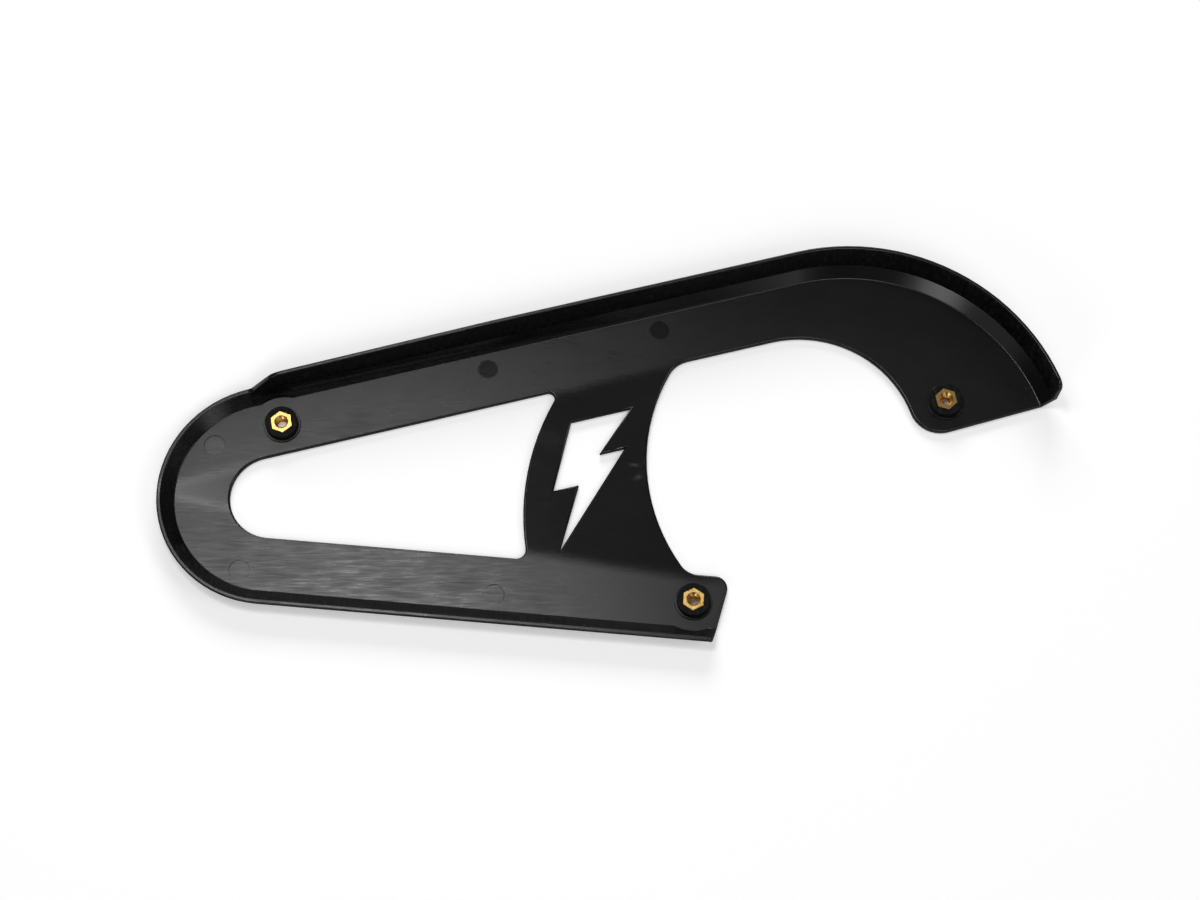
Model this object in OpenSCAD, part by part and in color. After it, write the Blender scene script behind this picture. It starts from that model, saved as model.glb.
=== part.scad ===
// Chain guard for a motorcycle: one moulded shell with three brass inserts.
// The guard lies on its outer face, with the chain side and its rim up.
// X runs from the front sprocket's centre to the rear one's, Z up, millimetres.
// The origin is the front insert's axis, at the outer face.

/* [Sprockets] */
// Length of the top run, between the front arc and the rear arc that it touches
top_run = 283.2; // [265:0.5:305]
// Radius of the plate's edge round the front sprocket
front_r = 48.7; // [44:0.1:54]
// Radius of the plate's edge round the rear sprocket
rear_r = 101.1; // [96:0.1:106]
// Angle by which the bottom run falls away from the sprockets' centre line
bottom_fall = 8.2; // [6:0.1:10]

/* [Plate] */
// Thickness of the plate
plate_t = 3; // [2:0.1:4]
// Radius of the inner outline round the front sprocket's centre
front_in_r = 21.2; // [16:0.1:25]
// Distance of the top run's lower edge from the rear sprocket's centre
rear_in_d = 74; // [72:0.5:78]

/* [Rim] */
// Width and rise of the bevel that carries the rim
bevel = 6; // [4.5:0.1:7]
// Width of the flat lip on top of the low rim
lip_w = 2; // [1.2:0.1:3]
// Width of the plate's underside that lies outside its inner edge
under_w = 1; // [0.5:0.1:1.5]
// Distance of the tall wall's inner foot from the plate's edge
wall_in = 5.3; // [4.6:0.1:5.9]
// Draft of the tall wall's inner face in degrees
wall_draft = 4; // [2:0.5:5]
// Outward lean of the tall wall's outer face from the lip's level to its top
wall_lean = 0.5; // [0:0.1:1]
// Height of the rim's top edge above the outer face at the ramp's head
rim_front_z = 22; // [18:0.2:24]
// Height of the rim's top edge above the outer face from there on, and round the hook
rim_rear_z = 25.6; // [24:0.2:30]
// Where the rim's top edge stops rising, along the top run
rim_level_u = 125; // [60:1:200]
// Where the ramp up to the tall wall starts, along the top run
ramp_u = 1; // [0:0.5:10]
// Slope of the ramp in degrees
ramp_slope = 47; // [35:1:60]
// Radius of the round at the ramp's top
ramp_top_r = 9; // [4:0.5:12]
// Radius of the hollow at the ramp's foot
ramp_foot_r = 4; // [2:0.5:6]
// Radius of the tall wall's top corner at the hook's end
wall_end_r = 5; // [2:0.5:8]
// Radius of the low rim's top corner at the tab's end
low_end_r = 2.5; // [1:0.5:4]

/* [Hook] */
// Radius of the hook's inner edge
hook_in_r = 58; // [54:0.5:62]
// Where the hook's inner edge leaves the top run, along that run
hook_in_u = 262; // [256:1:268]
// Slope of the hook's end edge against the sprockets' centre line
hook_end_slope = 12.6; // [8:0.2:18]
// Height of the hook's end edge over the rear sprocket's centre
hook_end_d = 4.3; // [0:0.1:8]
// Radius of the corner between the hook's inner edge and its end edge
hook_corner_r = 15.2; // [10:0.2:18]

/* [Web] */
// Radius of the concave edge that clears the rear hub
hub_r = 97.3; // [94:0.1:100]
// How far that edge's centre lies ahead of the rear sprocket's centre
hub_ahead = 4.5; // [0:0.1:8]
// How far that edge's centre lies above the sprockets' centre line
hub_up = 3; // [0:0.1:6]
// Radius of the corner between the concave edge and the top run
hub_top_r = 14.3; // [8:0.1:20]
// Radius of the corner between the concave edge and the tab
hub_tab_r = 11; // [8:0.1:20]
// Radius of the window's edge on the web
web_r = 126.6; // [120:0.1:132]
// Width of the web, between the foremost points of its two edges
web_w = 62.8; // [59:0.1:66]
// How far the window's edge has its centre below the sprockets' centre line
web_down = 22.8; // [18:0.1:28]
// Radius of the window's upper corner
window_top_r = 3.1; // [2:0.1:6]
// Radius of the window's lower corner
window_low_r = 4.5; // [2:0.1:8]

/* [Bolt cut-out] */
// Distance of the cut-out's first corner ahead of the concave edge, along the top run
bolt_ahead = 29.1; // [26:0.1:32]
// Distance of that corner above the front sprocket's centre, square to the top run
bolt_v = 3.3; // [0:0.1:6]
// Length of the cut-out's top edge
bolt_top = 30.7; // [26:0.1:34]
// Width of each of its two notches
bolt_notch = 13.1; // [10:0.1:15]
// How far back its upper notch lies from the top edge's end, and its tip from the first corner
bolt_back = 21; // [19:0.1:23]
// How far back its lower notch lies from the first corner
bolt_low_back = 3.9; // [2:0.1:6]
// Depth of its upper notch below the top edge
bolt_high = 19.8; // [17:0.1:23]
// Depth of its lower notch below the top edge
bolt_low = 33.2; // [30:0.1:36]
// Depth of its tip below the top edge
bolt_tip = 64.3; // [58:0.1:68]

/* [Tab] */
// Where the tab's end edge crosses the plate's lower edge, along the bottom run
tab_u = 224; // [218:0.5:232]
// Angle between the tab's end edge and the bottom run
tab_angle = 79; // [70:1:90]
// Distance of the tab's upper edge from the front sprocket's centre, square to the bottom run
tab_in_d = 21.8; // [18:0.1:25]
// Radius of the tab's upper corner
tab_corner_r = 6.2; // [3:0.2:8]

/* [Inserts] */
// Width across the flats of each brass insert
insert_flats = 10; // [8:0.5:11]
// Diameter of the threaded hole, taken at the thread's crests
insert_hole_d = 5; // [4:0.1:6]
// Depth of the chamfer at the hole's mouth on the chain side
insert_chamfer = 1; // [0.4:0.1:1.5]
// Diameter of the moulded boss round each insert
boss_d = 16.4; // [15:0.2:18]
// Height of the bosses above the plate
boss_h = 5; // [3:0.5:8]
// Width of the low step round each boss
boss_step_w = 1.1; // [0.5:0.1:1.5]
// Height of that step
boss_step_h = 1; // [0.5:0.1:2]
// Radius of the flat lobes that clear the two bosses by the rim
lobe_r = 15.2; // [13:0.1:17]
// Distance of the front and lower inserts from the plate's edge
insert_in = 12.8; // [11:0.1:14]
// Place of the front insert along the top run
front_insert_u = 12.2; // [8:0.1:20]
// Distance of the lower insert ahead of the tab's end edge, along the bottom run
lower_insert_back = 12.3; // [11:0.1:16]
// Distance of the rear insert from the plate's edge
rear_insert_in = 42.5; // [40:0.1:44]
// Direction of the rear insert, seen from the rear sprocket's centre
rear_insert_a = 31.8; // [28:0.1:36]
// Turn of the front insert's hexagon against the top run
front_turn = 25.5; // [0:0.5:60]
// Turn of the lower insert's hexagon against the top run
lower_turn = 12.5; // [0:0.5:60]
// Turn of the rear insert's hexagon against the top run
rear_turn = 28.5; // [0:0.5:60]

/* [Pin marks] */
// Diameter of the round marks that the mould's ejector pins leave
mark_d = 10.2; // [8:0.2:12]
// Depth of those marks
mark_depth = 0.3; // [0.1:0.1:0.6]
// Distance of the marks from the plate's edge
mark_in = 8.1; // [7:0.1:10]
// Direction of the upper mark on the nose, seen from the front sprocket's centre
nose_mark_a = 134.7; // [120:0.1:150]
// Direction of the lower mark on the nose
nose_low_mark_a = 245.5; // [230:0.1:255]
// Place of the first mark along the top run
top_mark_u = 118.8; // [100:0.1:140]
// Place of the second mark along the top run
top_rear_mark_u = 208.1; // [190:0.1:230]
// Place of the mark along the bottom run
bottom_mark_u = 114.4; // [100:0.1:140]
// Direction of the hook's mark, seen from the rear sprocket's centre
hook_mark_a = 21.7; // [18:0.1:26]

/* [Hidden] */
$fn = 96;

// Cutters reach this far past what they cut
past = 20;
// The rim's section reaches this far into the plate
lap = 2;
// The plate reaches this far past its edge, into the rim
plate_over = under_w / 2;
// Rounds reach this little past the edges that they touch, so that the two cross cleanly
cross = 0.002;
// Where the tall rim starts on the nose, its section stands this little outside the low one's
// and starts this far ahead of it, so that the two cross cleanly
seam_step = 0.03;
seam_lead = 0.5;
// Longest reach of the half planes that bound the outlines
far = 500;
// The rim is turned this many degrees past its ends round the arcs, then cut off there
past_a = 20;
// How far a corner filler reaches past its corner, as a share of its own size
spare = 1.4;

function turned(a) = [cos(a), sin(a)];
function left_of(a) = [-sin(a), cos(a)];
function unit(v) = v / norm(v);

// The plan is drawn with the top run along X and the front arc's centre at zero, so that the
// pieces which touch one another there meet on round numbers. It is turned at the very end.
rear_c = [top_run, front_r - rear_r];
sprocket_gap = norm(rear_c);
top_rise = atan2(rear_r - front_r, top_run);
bottom_a = -bottom_fall - top_rise;
hook_end_a = hook_end_slope - top_rise;
tab_a = tab_angle + bottom_a;

// A point given along the line of the sprockets' centres, and above it
function by_centres(x, y) = x * turned(-top_rise) + y * left_of(-top_rise);
hub_c = rear_c + by_centres(-hub_ahead, hub_up);
web_c = by_centres(sprocket_gap - hub_ahead - hub_r - web_w + web_r, -web_down);

// Slope of the top run's lower edge, and the centre of the hook's inner edge, which it touches
in_a = asin((rear_in_d - front_in_r) / sprocket_gap) - top_rise;
hook_in_c = hook_in_u * turned(in_a) + (front_in_r - hook_in_r) * left_of(in_a);

// Places given by the way along an edge, or the direction from an arc's centre, and the
// distance in from the plate's edge
function on_top(u, in) = [u, front_r - in];
function on_bottom(u, in) = u * turned(bottom_a) - (front_r - in) * left_of(bottom_a);
function on_nose(a, in) = (front_r - in) * turned(a - top_rise);
function on_hook(a, in) = rear_c + (rear_r - in) * turned(a - top_rise);

// The point at distance v from the line of slope a through the front centre, and at distance
// d from the point c, on its left (side -1) or right (side 1)
function tangent_centre(a, v, c, d, side) =
    let (cu = c * turned(a), cv = c * left_of(a))
    (cu + side * sqrt(d * d - pow(v - cv, 2))) * turned(a) + v * left_of(a);

front_insert_c = on_top(front_insert_u, insert_in);
lower_insert_c = on_bottom(tab_u - lower_insert_back, insert_in);
rear_insert_c = on_hook(rear_insert_a, rear_insert_in);

marks = [
    on_nose(nose_mark_a, mark_in), on_nose(nose_low_mark_a, mark_in),
    on_top(top_mark_u, mark_in), on_top(top_rear_mark_u, mark_in),
    on_bottom(bottom_mark_u, mark_in), on_hook(hook_mark_a, mark_in)
];

// Heights and widths of the rim's section, counted from the plate's inner edge
lip_z = plate_t + bevel;
boss_top = plate_t + boss_h;
rim_out = bevel + lip_w;
rim_max_z = max(rim_front_z, rim_rear_z) + 1;
wall_foot_z = plate_t + wall_in;
wall_in_top = wall_in + (rim_max_z - wall_foot_z) * tan(wall_draft);

// Head of the ramp in the side view, and the slope of the top edge behind it
ramp_head = [ramp_u + (rim_front_z - lip_z) / tan(ramp_slope), rim_front_z];
rim_tilt = atan((rim_rear_z - rim_front_z) / (rim_level_u - ramp_head[0]));

// Half planes, bounded by the line of slope a that passes the front centre at distance v
module above(a, v) {
    rotate(a) translate([-far, v]) square([2 * far, far]);
}
module below(a, v) {
    rotate(a) translate([-far, v - far]) square([2 * far, far]);
}

// The waste in a corner outside the circle of centre c that touches its sides at t1 and t2
module corner(c, t1, t2, r) {
    reach = spare / (1 + unit(t1 - c) * unit(t2 - c));
    difference() {
        polygon([c, t1, c + reach * (t1 + t2 - 2 * c), t2]);
        translate(c) circle(r = r + cross);
    }
}

// The corner between the line of slope a at distance v and a circle
module line_corner(a, v, c, circle_r, r, side, inside, under) {
    f = tangent_centre(a, v + (under ? -r : r), c, circle_r + (inside ? -r : r), side);
    corner(f, f + (under ? r : -r) * left_of(a), c + circle_r * unit(f - c), r);
}

// Distances of the hook's end edge and of the tab's end edge from the front centre
hook_end_v = rear_c * left_of(hook_end_a) + hook_end_d;
tab_v = on_bottom(tab_u, 0) * left_of(tab_a);

// The plate's filled outline, long at the hook's and the tab's ends
module outline() {
    circle(r = front_r + plate_over + cross);
    polygon([[0, 0], on_top(0, -plate_over), on_top(top_run, -plate_over), rear_c]);
    intersection() {
        translate(rear_c) circle(r = rear_r + plate_over + cross);
        above(hook_end_a, hook_end_v - past);
    }
    polygon([[0, 0], on_bottom(0, -plate_over), on_bottom(tab_u + past, -plate_over), rear_c]);
}

// The window between the nose and the web
module window() {
    top_start = front_in_r * left_of(in_a);
    low_start = -front_in_r * left_of(bottom_a);
    difference() {
        union() {
            circle(r = front_in_r + cross);
            polygon([
                [0, 0], top_start, top_start + sprocket_gap * turned(in_a),
                low_start + sprocket_gap * turned(bottom_a), low_start
            ]);
        }
        translate(web_c) {
            circle(r = web_r);
            translate([0, -far]) square([far, 2 * far]);
        }
        line_corner(in_a, front_in_r, web_c, web_r, window_top_r, -1, false, true);
        line_corner(bottom_a, -front_in_r, web_c, web_r, window_low_r, -1, false, false);
    }
}

// The mouth for the rear hub, between the web, the top run, the hook and the tab. It runs on
// past the hook's end edge, which it cuts off.
module mouth() {
    difference() {
        intersection() {
            below(in_a, front_in_r);
            above(bottom_a, -tab_in_d);
            union() {
                translate(hub_c) circle(r = hub_r);
                translate(hub_c) rotate(-top_rise) translate([0, -far / 2]) square([far, far]);
            }
        }
        line_corner(in_a, front_in_r, hub_c, hub_r, hub_top_r, -1, true, true);
        line_corner(bottom_a, -tab_in_d, hub_c, hub_r, hub_tab_r, -1, true, false);
        hook();
    }
}

// The hook's flat, from its inner edge outwards
module hook() {
    difference() {
        intersection() {
            rotate(in_a) translate([hook_in_u, -far]) square([far, 2 * far]);
            above(hook_end_a, hook_end_v);
        }
        translate(hook_in_c) circle(r = hook_in_r + cross);
        line_corner(hook_end_a, hook_end_v, hook_in_c, hook_in_r, hook_corner_r, 1,
            false, false);
    }
}

// The lightning-shaped cut-out in the web
module bolt() {
    translate([hub_c[0] - hub_r - bolt_ahead, bolt_v]) polygon([
        [0, 0],
        [bolt_top, 0],
        [bolt_top - bolt_back, -bolt_high],
        [bolt_top - bolt_back + bolt_notch, -bolt_high],
        [-bolt_back, -bolt_tip],
        [-bolt_low_back, -bolt_low],
        [-bolt_low_back - bolt_notch, -bolt_low]
    ]);
}

// The waste beyond the tab's end edge and outside its rounded upper corner
module tab_end() {
    in_v = -tab_in_d - tab_corner_r;
    end_v = tab_v + tab_corner_r;
    // The corner's centre lies in_v from the run's line and end_v from the end edge's line
    along = (in_v * cos(tab_angle) - end_v) / sin(tab_angle);
    c = along * turned(bottom_a) + in_v * left_of(bottom_a);
    corner(c, c + tab_corner_r * left_of(bottom_a), c - tab_corner_r * left_of(tab_a),
        tab_corner_r);
    intersection() {
        below(tab_a, tab_v);
        below(bottom_a, past - tab_in_d);
    }
}

module plate() {
    linear_extrude(plate_t) outline();
}

// Section of the low rim: bevel and flat lip, with its outer face
module low_section() {
    polygon([
        [-lap, 0], [under_w, 0], [rim_out, rim_out - under_w], [rim_out, lip_z],
        [bevel, lip_z], [-lap, plate_t - lap]
    ]);
}

// Section of the tall wall on its bevel
module tall_section() {
    polygon([
        [-lap, 0], [under_w, 0], [rim_out, rim_out - under_w], [rim_out, lip_z],
        [rim_out + wall_lean, rim_max_z], [wall_in_top, rim_max_z], [wall_in, wall_foot_z],
        [-lap, plate_t - lap]
    ]);
}

// A section carried along X for a length l, from the point p
module along_run(p, l) {
    translate(p) rotate([90, 0, 90]) linear_extrude(l) children();
}

// The low rim along the bottom run and round the nose
module low_rim() {
    rotate(bottom_a) {
        along_run([0, -front_r], tab_u + past) mirror([1, 0]) low_section();
        mirror([1, 0, 0]) rotate(-90)
            rotate_extrude(angle = 180 + bottom_a) translate([front_r, 0]) low_section();
    }
}

// The bevel and the tall wall along the top run and round the hook
module tall_rim() {
    along_run([-seam_lead, front_r + seam_step], top_run + seam_lead) tall_section();
    translate(rear_c + [0, seam_step]) mirror([1, 0, 0]) rotate(90)
        rotate_extrude(angle = 90 - hook_end_a + past_a) translate([rear_r, 0]) tall_section();
}

// Side view of what is cut off above the rim, with the ramp's two rounds
module above_rim() {
    foot = [ramp_u - ramp_foot_r * tan(ramp_slope / 2), lip_z + ramp_foot_r];
    head = ramp_head + ramp_top_r * tan((ramp_slope - rim_tilt) / 2) * turned(rim_tilt)
        - ramp_top_r * left_of(rim_tilt);
    difference() {
        polygon([
            [-far, lip_z], [ramp_u, lip_z], ramp_head, [rim_level_u, rim_rear_z],
            [far, rim_rear_z], [far, rim_max_z + past], [-far, rim_max_z + past]
        ]);
        corner(foot, foot - [0, ramp_foot_r], foot - ramp_foot_r * left_of(ramp_slope),
            ramp_foot_r);
    }
    corner(head, head + ramp_top_r * left_of(rim_tilt),
        head + ramp_top_r * left_of(ramp_slope), ramp_top_r);
}

// What the rim's rounded top corner leaves out where it ends: the end edge starts at p with
// slope a, and the rim is z high there
module end_round(p, a, z, r) {
    c = [r, z - r];
    translate(p) rotate(a) rotate([90, 0, 90])
        linear_extrude(past) corner(c, c - [r, 0], c + [0, r], r);
}

module rim() {
    difference() {
        union() {
            low_rim();
            difference() {
                tall_rim();
                translate([0, far / 2, 0]) rotate([90, 0, 0]) linear_extrude(far) above_rim();
            }
        }
        end_round(rear_c + hook_end_d * left_of(hook_end_a) + rear_r * turned(hook_end_a),
            hook_end_a, rim_rear_z, wall_end_r);
        end_round(on_bottom(tab_u, 0) - past * turned(tab_a), tab_a, lip_z, low_end_r);
        for (c = [front_insert_c, lower_insert_c])
            translate([c[0], c[1], plate_t]) cylinder(r = lobe_r, h = rim_max_z);
    }
}

// A boss with the low step round its foot
module boss(c) {
    translate(c) {
        cylinder(d = boss_d, h = boss_top);
        cylinder(d = boss_d + 2 * boss_step_w, h = plate_t + boss_step_h);
    }
}

// The six-sided prism of an insert from height z0 to z1, which is its pocket's shape too
module hexagon(c, turn, z0, z1) {
    translate([c[0], c[1], z0]) rotate(turn)
        cylinder(d = insert_flats / cos(30), h = z1 - z0, $fn = 6);
}

module insert(c, turn) {
    // The mouth's cone runs on past the top face, as far as it goes into it
    cone_d = insert_hole_d + 4 * insert_chamfer;
    color("goldenrod") difference() {
        hexagon(c, turn, 0, boss_top);
        translate([c[0], c[1], -past]) cylinder(d = insert_hole_d, h = boss_top + 2 * past);
        translate([c[0], c[1], boss_top - insert_chamfer])
            cylinder(d1 = insert_hole_d, d2 = cone_d, h = 2 * insert_chamfer);
    }
}

module guard_shell() {
    color([0.09, 0.09, 0.1]) difference() {
        union() {
            difference() {
                union() {
                    plate();
                    rim();
                }
                translate([0, 0, -past]) linear_extrude(rim_max_z + 2 * past) {
                    window();
                    mouth();
                    bolt();
                    tab_end();
                }
            }
            boss(front_insert_c);
            boss(lower_insert_c);
            boss(rear_insert_c);
        }
        hexagon(front_insert_c, front_turn, -past, boss_top + past);
        hexagon(lower_insert_c, lower_turn, -past, boss_top + past);
        hexagon(rear_insert_c, rear_turn, -past, boss_top + past);
        for (m = marks)
            translate([m[0], m[1], plate_t - mark_depth]) cylinder(d = mark_d, h = past);
    }
}

// Turns the plan so that X runs along the sprockets' centres, and puts the front insert at zero
module in_place() {
    rotate(top_rise) translate([-front_insert_c[0], -front_insert_c[1], 0]) children();
}

in_place() guard_shell();
in_place() insert(front_insert_c, front_turn);  // front_insert
in_place() insert(lower_insert_c, lower_turn);  // lower_insert
in_place() insert(rear_insert_c, rear_turn);  // rear_insert
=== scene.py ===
import math

import bmesh
import bpy
from mathutils import Matrix, Vector
from mathutils.bvhtree import BVHTree


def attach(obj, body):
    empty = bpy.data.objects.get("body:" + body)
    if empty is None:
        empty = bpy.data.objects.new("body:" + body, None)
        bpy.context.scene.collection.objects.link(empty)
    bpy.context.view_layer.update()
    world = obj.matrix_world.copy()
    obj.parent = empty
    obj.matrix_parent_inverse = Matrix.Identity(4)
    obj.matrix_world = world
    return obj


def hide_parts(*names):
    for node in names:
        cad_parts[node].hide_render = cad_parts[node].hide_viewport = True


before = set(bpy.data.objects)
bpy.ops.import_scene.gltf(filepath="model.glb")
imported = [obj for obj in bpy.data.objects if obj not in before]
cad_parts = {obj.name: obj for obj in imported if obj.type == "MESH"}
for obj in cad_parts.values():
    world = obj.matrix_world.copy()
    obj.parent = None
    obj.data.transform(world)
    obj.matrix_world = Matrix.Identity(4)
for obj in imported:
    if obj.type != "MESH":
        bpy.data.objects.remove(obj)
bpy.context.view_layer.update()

MM = 0.001

# Sizes and places that the part's source gives, in millimetres and degrees
PLATE_T = 3.0
LOW_RIM_Z = 9.0
BOSS_TOP = 8.0
BOSS_R = 8.2
MARK_R = 5.1
INSERT_FLATS = 10.0
HOLE_R = 2.5
CHAMFER = 1.0
# Slope of the top run against X
TOP_RISE = 10.483
# Each insert's axis and its hexagon's turn
INSERTS = {
    "front_insert": (0.0, 0.0, 25.5 + TOP_RISE),
    "lower_insert": (198.951, -103.248, 12.5 + TOP_RISE),
    "rear_insert": (332.346, -6.641, 28.5 + TOP_RISE),
}
# The centres of the front and the rear arc
FRONT = (-5.465, -37.521)
REAR = (282.542, -37.521)
# The middles of the ejector pins' marks: two on the nose, two on the top run, then the others
MARKS = ((-34.02, -8.66), (-22.30, -74.46), (103.97, 24.02), (191.77, 40.26),
         (101.98, -94.03), (368.95, -3.13))

# Rounding of each kind of convex edge, and of the crease at the ramp's foot, in millimetres
ROUND_POCKET = 0.12
ROUND_BOSS_TOP = 0.35
ROUND_BOSS_STEP = 0.25
ROUND_MARK = 0.12
ROUND_OUTER_FACE = 0.5
ROUND_UPRIGHT = 0.5
ROUND_PLATE = 1.0
ROUND_LOW_RIM_OUTSIDE = 0.85
ROUND_LOW_RIM_INSIDE = 0.25
ROUND_TALL_RIM = 0.8
ROUND_CREASE = 0.3
ROUND_SEGMENTS = 4

# How far from an insert's axis or a mark's middle an edge still belongs to it, in millimetres
POCKET_REACH = 6.2
BOSS_TOP_REACH = BOSS_R + 0.4
BOSS_STEP_REACH = BOSS_R + 1.6
MARK_REACH = 6

# Cleaning of the CAD's mesh, and of the rounded one
CAD_WELD = 0.04 * MM
CAD_FLAT_ANGLE = 0.6
EDGE_ANGLE = 20
CREASE_ANGLE = 60
OFF_CAD_LIMIT = 0.31 * MM
ROUNDED_WELD = 0.002 * MM

# The thread in each insert, which is M6 by 1 mm
THREAD_PITCH = 1.0
THREAD_DEPTH = 0.5
RIDGE_SLOPE = 1.2
RIDGE_FLAT = 0.1
FOOT_CHAMFER = 0.6
STEPS = 72
ROWS_PER_TURN = 12
# The hexagon's broken edges, and how much of that its upper end has
BROKEN_EDGE = 0.3
UPPER_SHARE = 0.4
# The brass stays this much smaller than its pocket, so that no two faces coincide
POCKET_GAP = 0.02
# Width of the narrow ring round the chamfer
MOUTH_RING = 0.15
SHARP_ON_ENDS = 8
SHARP_ELSEWHERE = 28

# Polishing streaks: turn in the plate's plane, then for each kind how often it repeats in a
# metre along X, Y and Z, with the noise's detail, roughness and distortion
STREAK_TURN = 3.2
FINE_STREAKS = ((90, 1100, 1100), 3.0, 0.65, 0.0)
SOFT_STREAKS = ((35, 150, 150), 3.0, 0.6, 0.8)
BROAD_WAVES = ((7, 40, 40), 2.0, 0.5, 0.3)
RIBS = ((1300, 160, 160), 2.0, 0.6, 0.0)

PLASTIC_DARK = (0.0017, 0.0017, 0.0018, 1)
PLASTIC_LIGHT = (0.0030, 0.0030, 0.0031, 1)
PLASTIC_WORN = (0.0055, 0.0055, 0.0056, 1)
PLASTIC_BOSS = (0.0032, 0.0030, 0.0028, 1)
WALL_DARK = (0.0016, 0.0016, 0.0017, 1)
WALL_LIGHT = (0.018, 0.018, 0.018, 1)
BRASS_DEEP = (0.74, 0.45, 0.13, 1)
BRASS_PALE = (0.82, 0.55, 0.20, 1)
PAPER_GREY = (0.90, 0.90, 0.90, 1)
PAPER_WHITE = (0.93, 0.93, 0.93, 1)
WHITE = (1, 1, 1, 1)

PLASTIC_IOR = 1.5
WALL_SPECULAR = 0.12
# Between these values of the normal's Z a face goes from sloping to level
SLOPING, LEVEL = 0.9, 0.99

# The web's face lies between two lines of the plate and ends before the hub's edge.
# A line is its angle in degrees and its distance from the front arc's centre.
WEB_UPPER_LINE = (10.56, 19.0)
WEB_LOWER_LINE = (-12.0, -9.0)
WEB_BLEND = 5.0
WEB_ENDS = (0.216, 0.204)

# Soft ellipses on the web: middle, half axes, turn and softness
CREASE = (132.0, -14.5, 9.0, 6.0, -16, 0.35)
FLOW_MARK = ((181.0, -30.0, 3.6, 5.0, 20, 1.0),
             (174.5, -31.0, 6.5, 2.2, -8, 1.0),
             (176.0, -37.5, 5.0, 3.0, 25, 1.0))
# How far the faces lean in X and Y
LEAN_WEB = (0.1, 0.0)
LEAN_CREASE = (-0.022, -0.01)
LEAN_FLOW_MARK = (-0.10, -0.02)
LEAN_TOP_MARKS = (0.035, 0.06)
LEAN_NOSE_MARKS = (-0.01, -0.02)

# Light that the floor gives the camera, and the little it gives beneath the lower and the rear
# insert's hole, where taking the lift away paints shade on the floor seen through the hole
FLOOR_LIFT = 0.31
FLOOR_LIFT_IN_PAINTED_HOLE_SHADE = 0.02

# Each lamp's name, place, target, width and watts, and its height where it isn't square.
# The plate mirrors the key and the hot lamp on the nose and the bottom run, and the rear lamp
# round the rear insert. The streak lamps are low: the ramp at the tall wall's foot shows them.
LAMPS = (
    ("key", (-0.24, 0.23, 1.5), (-0.24, 0.23, 0.0), 0.72, 4.2, 0.46),
    ("hot", (-0.07, 0.31, 1.49), (-0.08, 0.31, 0.0), 0.24, 2.2, 0.14),
    ("rear", (0.60, 0.55, 1.5), (0.60, 0.55, 0.0), 0.25, 0.06),
    ("back", (0.2, 2.3, 1.2), (0.15, 0.0, 0.0), 1.6, 32, 0.8),
    ("right", (1.8, -0.3, 1.5), (0.2, 0.0, 0.0), 0.8, 7),
    ("front", (0.4, -1.5, 2.0), (0.15, 0.0, 0.0), 1.2, 11, 0.8),
    ("streak", (-0.60, -1.30, 0.77), (0.333, 0.052, 0.006), 0.42, 2.3),
    ("streak_side", (-1.1, -0.75, 0.68), (0.364, 0.023, 0.006), 0.6, 0.45),
    ("streak_front", (1.1, -1.4, 0.72), (0.256, 0.063, 0.006), 0.5, 1.2),
)
WORLD_STRENGTH = 0.05

CAMERA_PLACE = (0.13442, -0.43777, 1.1783)
CAMERA_TARGET = (0.15802, -0.02114, 0.0)
CAMERA_RIGHT = (0.99840, -0.05657, 0.0)
SENSOR_WIDTH = 36
LENS = 75
CLIP_END = 50


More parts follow.
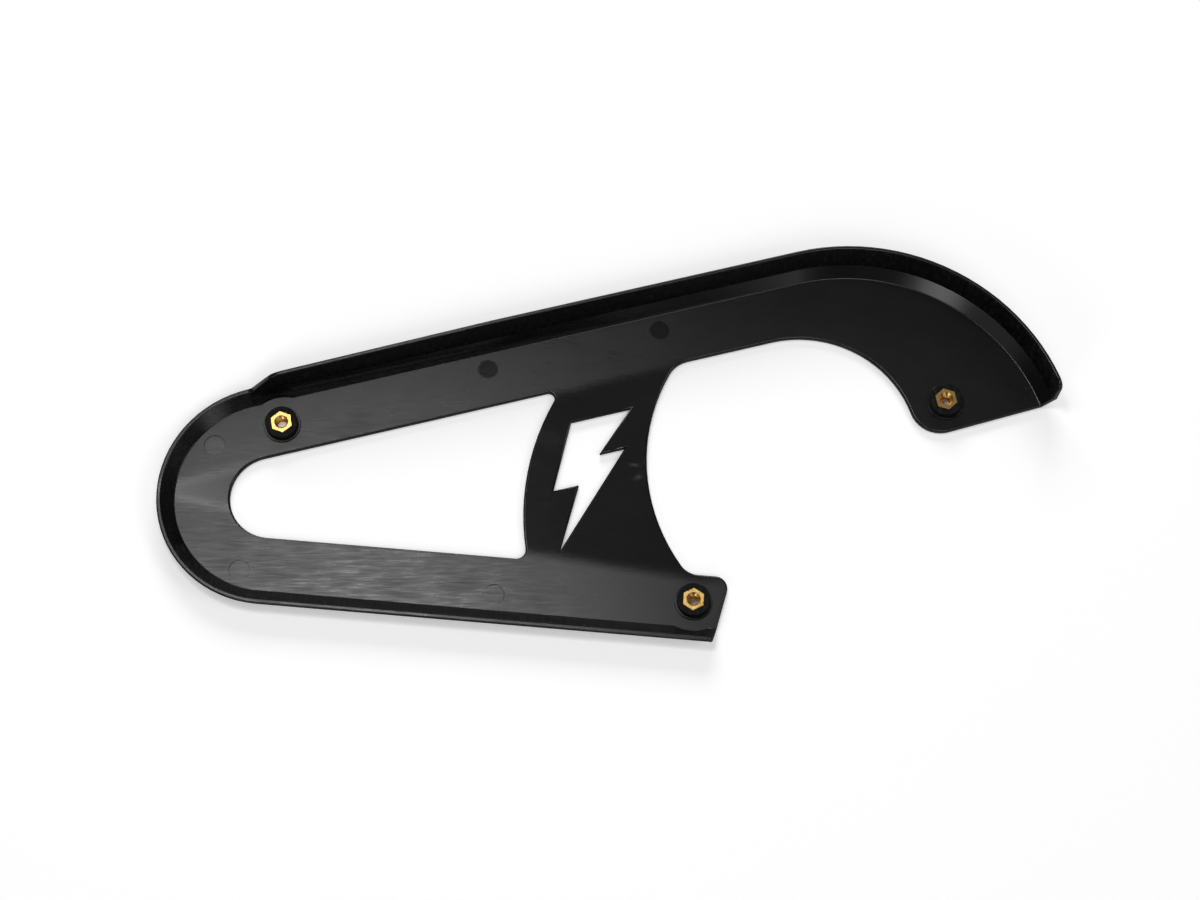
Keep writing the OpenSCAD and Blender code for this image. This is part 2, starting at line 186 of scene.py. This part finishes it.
class Nodes:
    """Adds nodes to one material and links them with short calls."""

    def __init__(self, name):
        self.mat = bpy.data.materials.new(name)
        self.mat.use_nodes = True
        self.tree = self.mat.node_tree
        self.tree.nodes.clear()
        self.out = self.add("ShaderNodeOutputMaterial")

    def add(self, kind, **props):
        n = self.tree.nodes.new(kind)
        for k, v in props.items():
            setattr(n, k, v)
        return n

    def link(self, a, b):
        self.tree.links.new(a, b)

    def put(self, socket, value):
        """Links a socket or sets a constant."""
        if isinstance(value, bpy.types.NodeSocket):
            self.link(value, socket)
        else:
            socket.default_value = value

    def math(self, op, a, b):
        n = self.add("ShaderNodeMath", operation=op)
        self.put(n.inputs[0], a)
        self.put(n.inputs[1], b)
        return n.outputs[0]

    def times(self, a, b):
        return self.math("MULTIPLY", a, b)

    def plus(self, a, b):
        return self.math("ADD", a, b)

    def union(self, masks):
        """The strongest of several masks."""
        m = masks[0]
        for k in masks[1:]:
            m = self.math("MAXIMUM", m, k)
        return m

    def coords(self):
        return self.add("ShaderNodeTexCoord").outputs["Object"]

    def noise(self, vector, scale, detail, rough, distort=0.0):
        n = self.add("ShaderNodeTexNoise")
        self.link(vector, n.inputs["Vector"])
        n.inputs["Scale"].default_value = scale
        n.inputs["Detail"].default_value = detail
        n.inputs["Roughness"].default_value = rough
        n.inputs["Distortion"].default_value = distort
        return n.outputs[0]

    def streaks(self, vector, turn, kind):
        """Noise that is drawn out along a direction, turned about Z in degrees."""
        scale, detail, rough, distort = kind
        n = self.add("ShaderNodeMapping", vector_type="POINT")
        n.inputs["Rotation"].default_value = (0, 0, math.radians(turn))
        self.link(vector, n.inputs["Vector"])
        m = self.add("ShaderNodeVectorMath", operation="MULTIPLY")
        self.link(n.outputs[0], m.inputs[0])
        m.inputs[1].default_value = scale
        return self.noise(m.outputs[0], 1.0, detail, rough, distort)

    def fit(self, value, a, b, c=0.0, d=1.0, smooth=False):
        """Maps a..b to c..d, clamped."""
        n = self.add("ShaderNodeMapRange", clamp=True,
                     interpolation_type="SMOOTHSTEP" if smooth else "LINEAR")
        self.put(n.inputs["Value"], value)
        for k, v in (("From Min", a), ("From Max", b), ("To Min", c), ("To Max", d)):
            n.inputs[k].default_value = v
        return n.outputs[0]

    def mix(self, fac, a, b):
        """Mixes two colours."""
        n = self.add("ShaderNodeMix", data_type="RGBA")
        self.put(n.inputs[0], fac)
        self.put(n.inputs[6], a)
        self.put(n.inputs[7], b)
        return n.outputs[2]

    def bump(self, height, distance, strength, normal=None):
        n = self.add("ShaderNodeBump")
        n.inputs["Strength"].default_value = strength
        n.inputs["Distance"].default_value = distance
        self.link(height, n.inputs["Height"])
        if normal is not None:
            self.link(normal, n.inputs["Normal"])
        return n.outputs[0]

    def spot(self, vector, x, y, rx, ry, turn, soft):
        """1 at a place of the plate, falling to 0 at an ellipse's edge, in millimetres."""
        m = self.add("ShaderNodeMapping", vector_type="TEXTURE")
        m.inputs["Location"].default_value = (x * MM, y * MM, 0)
        m.inputs["Rotation"].default_value = (0, 0, math.radians(turn))
        # So large in Z that height hardly counts
        m.inputs["Scale"].default_value = (rx * MM, ry * MM, 1e3)
        self.link(vector, m.inputs["Vector"])
        d = self.add("ShaderNodeVectorMath", operation="LENGTH")
        self.link(m.outputs[0], d.inputs[0])
        return self.fit(d.outputs["Value"], 1.0, 1.0 - soft, smooth=True)

    def disc(self, vector, x, y, r, soft):
        return self.spot(vector, x, y, r, r, 0, soft)

    def beyond(self, vector, angle, dist):
        """1 on the upper side of a line that passes the front arc's centre, 0 below it."""
        nx, ny = -math.sin(math.radians(angle)), math.cos(math.radians(angle))
        d = self.add("ShaderNodeVectorMath", operation="DOT_PRODUCT")
        self.link(vector, d.inputs[0])
        d.inputs[1].default_value = (nx, ny, 0)
        off = (FRONT[0] * nx + FRONT[1] * ny + dist) * MM
        blend = WEB_BLEND * MM
        return self.fit(d.outputs["Value"], off - blend, off + blend, smooth=True)

    def tilt(self, normal, mask, lean):
        """Leans the normal in X and Y where the mask is 1, as a dished face does."""
        v = self.add("ShaderNodeVectorMath", operation="SCALE")
        v.inputs[0].default_value = (*lean, 0)
        self.put(v.inputs["Scale"], mask)
        a = self.add("ShaderNodeVectorMath", operation="ADD")
        self.link(normal, a.inputs[0])
        self.link(v.outputs[0], a.inputs[1])
        u = self.add("ShaderNodeVectorMath", operation="NORMALIZE")
        self.link(a.outputs[0], u.inputs[0])
        return u.outputs[0]

    def place_parts(self):
        """Object coordinates, their X and Z, the normal, and how far it points up."""
        co = self.coords()
        sep = self.add("ShaderNodeSeparateXYZ")
        self.link(co, sep.inputs[0])
        geo = self.add("ShaderNodeNewGeometry")
        up = self.add("ShaderNodeSeparateXYZ")
        self.link(geo.outputs["Normal"], up.inputs[0])
        return co, sep.outputs[0], sep.outputs[2], geo.outputs["Normal"], up.outputs[2]

    def principled(self, color, rough, normal):
        s = self.add("ShaderNodeBsdfPrincipled")
        self.link(color, s.inputs["Base Color"])
        self.link(rough, s.inputs["Roughness"])
        self.link(normal, s.inputs["Normal"])
        self.link(s.outputs[0], self.out.inputs[0])
        return s


def black_plastic():
    n = Nodes("black_plastic")
    co, x, z, normal, upward = n.place_parts()
    flat = n.fit(upward, SLOPING, LEVEL)

    # Polishing streaks of the mould, nearly level in the photograph
    fine = n.streaks(co, STREAK_TURN, FINE_STREAKS)
    soft = n.streaks(co, STREAK_TURN, SOFT_STREAKS)
    broad = n.streaks(co, STREAK_TURN, BROAD_WAVES)
    grain = n.noise(co, 2600.0, 2.0, 0.5)
    cloud = n.noise(co, 45.0, 4.0, 0.6, 0.6)

    # Masks of the web's dished face, the ejector marks' floors and the bosses' upper ends
    below_top_run = n.math("SUBTRACT", 1.0, n.beyond(co, *WEB_UPPER_LINE))
    web = n.times(below_top_run, n.beyond(co, *WEB_LOWER_LINE))
    web = n.times(web, n.fit(x, *WEB_ENDS))
    web = n.times(web, flat)
    low = n.times(n.fit(z, 0.0033, 0.0026), flat)
    marks = [n.times(low, n.disc(co, mx, my, MARK_R, 0.15)) for mx, my in MARKS]
    tops = n.times(n.fit(z, 0.0076, 0.0079),
                   n.union([n.disc(co, bx, by, 8.4, 0.02) for bx, by, _ in INSERTS.values()]))

    shade = n.mix(n.fit(cloud, 0.35, 0.7), PLASTIC_DARK, PLASTIC_LIGHT)
    shade = n.mix(n.fit(fine, 0.5, 0.8, 0.0, 0.5), shade, PLASTIC_WORN)
    shade = n.mix(tops, shade, PLASTIC_BOSS)

    # The nose and the bottom run are the most streaked, and the web is the least
    worn = n.times(n.fit(x, 0.22, 0.10, 0.25, 1.0),
                   n.math("SUBTRACT", 1.0, n.times(web, 0.7)))
    streak = n.plus(n.fit(fine, 0.3, 0.75, -0.03, 0.10),
                    n.plus(n.fit(soft, 0.3, 0.75, -0.01, 0.03),
                           n.fit(cloud, 0.3, 0.7, -0.025, 0.035)))
    rough = n.plus(n.times(streak, worn), 0.285)
    rough = n.plus(rough, n.times(tops, 0.12))
    rough = n.plus(rough, n.times(web, -0.05))
    rough = n.times(rough, n.fit(upward, SLOPING, LEVEL, 0.81, 1.0))

    crease = n.times(n.spot(co, *CREASE), web)
    flow_mark = n.union([n.spot(co, *place) for place in FLOW_MARK])
    base = n.tilt(normal, web, LEAN_WEB)
    base = n.tilt(base, crease, LEAN_CREASE)
    base = n.tilt(base, flow_mark, LEAN_FLOW_MARK)
    base = n.tilt(base, n.union(marks[2:4]), LEAN_TOP_MARKS)
    base = n.tilt(base, n.union(marks[:2]), LEAN_NOSE_MARKS)

    b = n.bump(n.times(fine, flat), 0.000006, 0.5, base)
    b = n.bump(n.times(soft, flat), 0.000008, 0.3, b)
    b = n.bump(n.times(broad, flat), 0.00003, 0.35, b)
    rubbed = n.times(n.noise(co, 900.0, 3.0, 0.6), n.union([tops] + marks))
    b = n.bump(rubbed, 0.00006, 0.5, b)
    b = n.bump(grain, 0.000010, 0.4, b)

    s = n.principled(shade, rough, b)
    s.inputs["IOR"].default_value = PLASTIC_IOR
    return n.mat


def black_plastic_walls():
    """The upright faces and the boss tops, which the mould left finely ribbed and duller."""
    n = Nodes("black_plastic_walls")
    co, _, z, normal, _ = n.place_parts()
    ribs = n.streaks(co, -TOP_RISE, RIBS)
    dots = n.noise(co, 700.0, 3.0, 0.6)
    above_low_rim = n.fit(z, 0.009, 0.011)
    light = n.times(n.fit(ribs, 0.45, 0.62), n.fit(dots, 0.42, 0.6))
    shade = n.mix(light, WALL_DARK, WALL_LIGHT)
    rough = n.fit(dots, 0.3, 0.7, 0.48, 0.6)
    b = n.bump(n.times(ribs, above_low_rim), 0.00012, 0.6, normal)
    b = n.bump(dots, 0.00003, 0.5, b)
    s = n.principled(shade, rough, b)
    s.inputs["IOR"].default_value = PLASTIC_IOR
    s.inputs["Specular IOR Level"].default_value = WALL_SPECULAR
    return n.mat


def brass():
    n = Nodes("insert_brass")
    co = n.coords()
    fine = n.noise(co, 1800.0, 2.0, 0.6)
    cloud = n.noise(co, 420.0, 3.0, 0.5)
    tone = n.mix(n.fit(cloud, 0.35, 0.7), BRASS_DEEP, BRASS_PALE)
    rough = n.fit(cloud, 0.25, 0.75, 0.25, 0.31)
    s = n.principled(tone, rough, n.bump(fine, 0.000003, 0.4))
    s.inputs["Metallic"].default_value = 1.0
    return n.mat


def floor_paper():
    """White paper that keeps its shadows, a little lifted for the camera and for reflections,
    with painted shade beneath the lower and the rear insert's hole where that lift is mostly
    taken away.
    """
    n = Nodes("floor_paper")
    co = n.coords()
    tone = n.mix(n.noise(co, 900.0, 2.0, 0.5), PAPER_GREY, PAPER_WHITE)
    d = n.add("ShaderNodeBsdfDiffuse")
    n.link(tone, d.inputs["Color"])
    e = n.add("ShaderNodeEmission")
    e.inputs["Color"].default_value = WHITE
    # Painted shade: beneath the lower and the rear insert's hole the floor loses most of its
    # lift, so it looks shaded through the hole
    lower_and_rear = list(INSERTS.values())[1:]
    painted_hole_shade = n.union([n.disc(co, bx, by, 6.0, 0.2) for bx, by, _ in lower_and_rear])
    n.link(n.fit(painted_hole_shade, 0.0, 1.0, FLOOR_LIFT, FLOOR_LIFT_IN_PAINTED_HOLE_SHADE), e.inputs["Strength"])
    path = n.add("ShaderNodeLightPath")
    seen = n.math("MAXIMUM", path.outputs["Is Camera Ray"],
                  n.math("MAXIMUM", path.outputs["Is Glossy Ray"],
                         path.outputs["Is Transmission Ray"]))
    add = n.add("ShaderNodeAddShader")
    n.link(d.outputs[0], add.inputs[0])
    n.link(e.outputs[0], add.inputs[1])
    mix = n.add("ShaderNodeMixShader")
    n.link(seen, mix.inputs[0])
    n.link(d.outputs[0], mix.inputs[1])
    n.link(add.outputs[0], mix.inputs[2])
    n.link(mix.outputs[0], n.out.inputs[0])
    return n.mat


def to_object(name, bm, material):
    me = bpy.data.meshes.new(name)
    bm.to_mesh(me)
    bm.free()
    me.materials.append(material)
    o = bpy.data.objects.new(name, me)
    bpy.context.scene.collection.objects.link(o)
    return o


def apply_modifiers(o):
    graph = bpy.context.evaluated_depsgraph_get()
    graph.update()
    me = bpy.data.meshes.new_from_object(o.evaluated_get(graph))
    me.name = o.name
    o.modifiers.clear()
    o.data = me


def back_to_cad(o, node, limit):
    """Puts the vertices that a mitre threw off the CAD's surface back on it."""
    cad = bmesh.new()
    cad.from_mesh(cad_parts[node].data)
    tree = BVHTree.FromBMesh(cad)
    cad.free()
    for v in o.data.vertices:
        place, _, _, dist = tree.find_nearest(v.co)
        if dist > limit:
            v.co = place


def edge_middle(e):
    return (e.verts[0].co + e.verts[1].co) / 2


def in_plan(p):
    return Vector((p.x, p.y, 0))


def nearest(p, places):
    """Distance in plan to the nearest of some places."""
    return min((in_plan(p) - a).length for a in places)


def is_outside(e):
    """Whether an upper edge of the rim is the one on the guard's outside."""
    mid = edge_middle(e)
    core = Vector((min(max(mid.x, FRONT[0] * MM), REAR[0] * MM), FRONT[1] * MM, 0))
    out = Vector((mid.x - core.x, mid.y - core.y, 0))
    face = min(e.link_faces, key=lambda f: abs(f.normal.z))
    return face.normal.dot(out) > 0


def rounding(e, axes, marks):
    """The rounding of a convex edge of the shell, in millimetres."""
    mid = edge_middle(e)
    near = nearest(mid, axes) / MM
    zs = [v.co.z / MM for v in e.verts]
    if near < POCKET_REACH:
        return ROUND_POCKET
    if near < BOSS_TOP_REACH:
        return ROUND_BOSS_TOP
    if near < BOSS_STEP_REACH:
        return ROUND_BOSS_STEP
    if nearest(mid, marks) < MARK_REACH * MM:
        # The marks are only 0.3 mm deep, so a wider rounding would fold under their floor
        return ROUND_MARK
    if max(zs) < 0.2:
        return ROUND_OUTER_FACE
    if abs(zs[0] - zs[1]) > 1:
        return ROUND_UPRIGHT
    if abs(zs[0] - PLATE_T) < 0.1 and abs(zs[1] - PLATE_T) < 0.1:
        return ROUND_PLATE
    if max(zs) < LOW_RIM_Z + 0.1:
        return ROUND_LOW_RIM_OUTSIDE if is_outside(e) else ROUND_LOW_RIM_INSIDE
    return ROUND_TALL_RIM


def has_wall_finish(f, axes):
    """Whether a face is upright, leans towards +Y above the plate, or is a boss's top."""
    mid = f.calc_center_median()
    upright = abs(f.normal.z) < 0.5
    leans_back = f.normal.y > 0.3 and f.normal.z < 0.95 and mid.z > 1.1 * PLATE_T * MM
    on_boss = mid.z > 0.95 * BOSS_TOP * MM and nearest(mid, axes) < BOSS_R * MM
    return upright or leans_back or on_boss


def guard_shell(material, walls):
    """The moulded shell with its edges rounded as a moulding's are."""
    bm = bmesh.new()
    bm.from_mesh(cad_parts["guard_shell"].data)
    bmesh.ops.remove_doubles(bm, verts=bm.verts, dist=CAD_WELD)
    bmesh.ops.dissolve_limit(bm, angle_limit=math.radians(CAD_FLAT_ANGLE), verts=bm.verts,
                             edges=bm.edges, use_dissolve_boundaries=False)
    bmesh.ops.recalc_face_normals(bm, faces=bm.faces)
    weight = bm.edges.layers.float.new("bevel_weight_edge")
    axes = [Vector((x * MM, y * MM, 0)) for x, y, _ in INSERTS.values()]
    marks = [Vector((x * MM, y * MM, 0)) for x, y in MARKS]
    for e in bm.edges:
        angle = e.calc_face_angle(0)
        if len(e.link_faces) != 2 or angle < math.radians(EDGE_ANGLE):
            continue
        if e.is_convex:
            e[weight] = rounding(e, axes, marks)
            continue
        e.smooth = False
        on_plate = all(abs(v.co.z / MM - PLATE_T) < 0.05 for v in e.verts)
        if on_plate and angle < math.radians(CREASE_ANGLE):
            e[weight] = ROUND_CREASE
    for f in bm.faces:
        f.smooth = True
        f.material_index = int(has_wall_finish(f, axes))
    o = to_object("shell_moulding", bm, material)
    o.data.materials.append(walls)
    b = o.modifiers.new("rounded edges", "BEVEL")
    b.limit_method = "WEIGHT"
    b.width = 1.0 * MM
    b.segments = ROUND_SEGMENTS
    b.use_clamp_overlap = False
    b.miter_outer = "MITER_ARC"
    apply_modifiers(o)
    back_to_cad(o, "guard_shell", OFF_CAD_LIMIT)
    # Two vertices on one place would export as faces without area
    join = o.modifiers.new("no doubled vertices", "WELD")
    join.merge_threshold = ROUNDED_WELD
    w = o.modifiers.new("flat faces stay flat", "WEIGHTED_NORMAL")
    w.keep_sharp = True
    w.weight = 100
    apply_modifiers(o)
    return o


def bridge(bm, a, b):
    """Joins two rings of vertices with faces."""
    for i in range(len(a)):
        j = (i + 1) % len(a)
        bm.faces.new((a[i], a[j], b[j], b[i]))


def thread_r(z, i):
    """Radius of the thread's wall at a height and step, which the two chamfered mouths cut."""
    t = (z / THREAD_PITCH - i / STEPS) % 1.0
    ridge = min(max(abs(t - 0.5) * 2 * RIDGE_SLOPE - RIDGE_FLAT, 0.0), 1.0)
    mouth = HOLE_R + CHAMFER - (BOSS_TOP - z)
    foot = HOLE_R + FOOT_CHAMFER - z
    return max(HOLE_R + THREAD_DEPTH * ridge, mouth, foot)


def insert(name, material):
    """A brass hexagon with broken edges, and an M6 thread through it."""
    x0, y0, turn = INSERTS[name]
    angles = [2 * math.pi * i / STEPS + math.radians(turn) for i in range(STEPS)]

    def row(radii, z):
        return [Vector((x0 + r * math.cos(a), y0 + r * math.sin(a), z)) * MM
                for r, a in zip(radii, angles)]

    def hexagon(flats, z):
        turns = [(2 * math.pi * i / STEPS) % (math.pi / 3) - math.pi / 6 for i in range(STEPS)]
        return row([flats / 2 / math.cos(t) for t in turns], z)

    side = INSERT_FLATS - POCKET_GAP
    rows = [hexagon(INSERT_FLATS - 2 * BROKEN_EDGE, 0.0),
            hexagon(side, BROKEN_EDGE),
            hexagon(side, BOSS_TOP - BROKEN_EDGE * UPPER_SHARE),
            hexagon(INSERT_FLATS - 2 * UPPER_SHARE * BROKEN_EDGE, BOSS_TOP),
            row([HOLE_R + CHAMFER + MOUTH_RING] * STEPS, BOSS_TOP)]
    levels = int(BOSS_TOP * ROWS_PER_TURN / THREAD_PITCH)
    for k in range(levels, -1, -1):
        z = BOSS_TOP * k / levels
        rows.append(row([thread_r(z, i) for i in range(STEPS)], z))

    bm = bmesh.new()
    rings = [[bm.verts.new(p) for p in points] for points in rows]
    for a, b in zip(rings, rings[1:] + rings[:1]):
        bridge(bm, a, b)
    bmesh.ops.recalc_face_normals(bm, faces=bm.faces)
    for f in bm.faces:
        f.smooth = True
    for e in bm.edges:
        ends = all(v.co.z > BOSS_TOP * MM - 1e-6 or v.co.z < 1e-6 for v in e.verts)
        if e.calc_face_angle(0) > math.radians(SHARP_ON_ENDS if ends else SHARP_ELSEWHERE):
            e.smooth = False
    return to_object("threaded_" + name, bm, material)


def plane(name, size, z, material):
    bm = bmesh.new()
    h = size / 2
    vs = [bm.verts.new(p) for p in ((-h, -h, z), (h, -h, z), (h, h, z), (-h, h, z))]
    bm.faces.new(vs)
    return to_object(name, bm, material)


def area_light(name, place, target, size, power, size_y=None):
    data = bpy.data.lights.new(name, "AREA")
    data.energy = power
    data.size = size
    if size_y:
        data.shape = "RECTANGLE"
        data.size_y = size_y
    o = bpy.data.objects.new(name, data)
    bpy.context.scene.collection.objects.link(o)
    o.location = place
    o.rotation_euler = (Vector(target) - Vector(place)).to_track_quat("-Z", "Y").to_euler()


def lights():
    for lamp in LAMPS:
        area_light(*lamp)
    w = bpy.data.worlds.new("studio")
    bpy.context.scene.world = w
    w.use_nodes = True
    background = w.node_tree.nodes["Background"]
    background.inputs["Color"].default_value = WHITE
    background.inputs["Strength"].default_value = WORLD_STRENGTH


def camera():
    data = bpy.data.cameras.new("camera")
    data.sensor_width = SENSOR_WIDTH
    data.lens = LENS
    data.clip_end = CLIP_END
    o = bpy.data.objects.new("camera", data)
    bpy.context.scene.collection.objects.link(o)
    place = Vector(CAMERA_PLACE)
    back = (place - Vector(CAMERA_TARGET)).normalized()
    over = back.cross(Vector(CAMERA_RIGHT).normalized()).normalized()
    right = over.cross(back).normalized()
    turn = Matrix((right, over, back)).transposed()
    o.matrix_world = Matrix.Translation(place) @ turn.to_4x4()
    bpy.context.scene.camera = o


camera()
plastic = black_plastic()
gold = brass()

shell = guard_shell(plastic, black_plastic_walls())
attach(shell, "root")
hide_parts("guard_shell")

for key in INSERTS:
    piece = insert(key, gold)
    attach(piece, "root")
    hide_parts(key)

plane("floor", 40.0, -0.0002, floor_paper())
lights()
bpy.context.scene.view_settings.view_transform = "Standard"
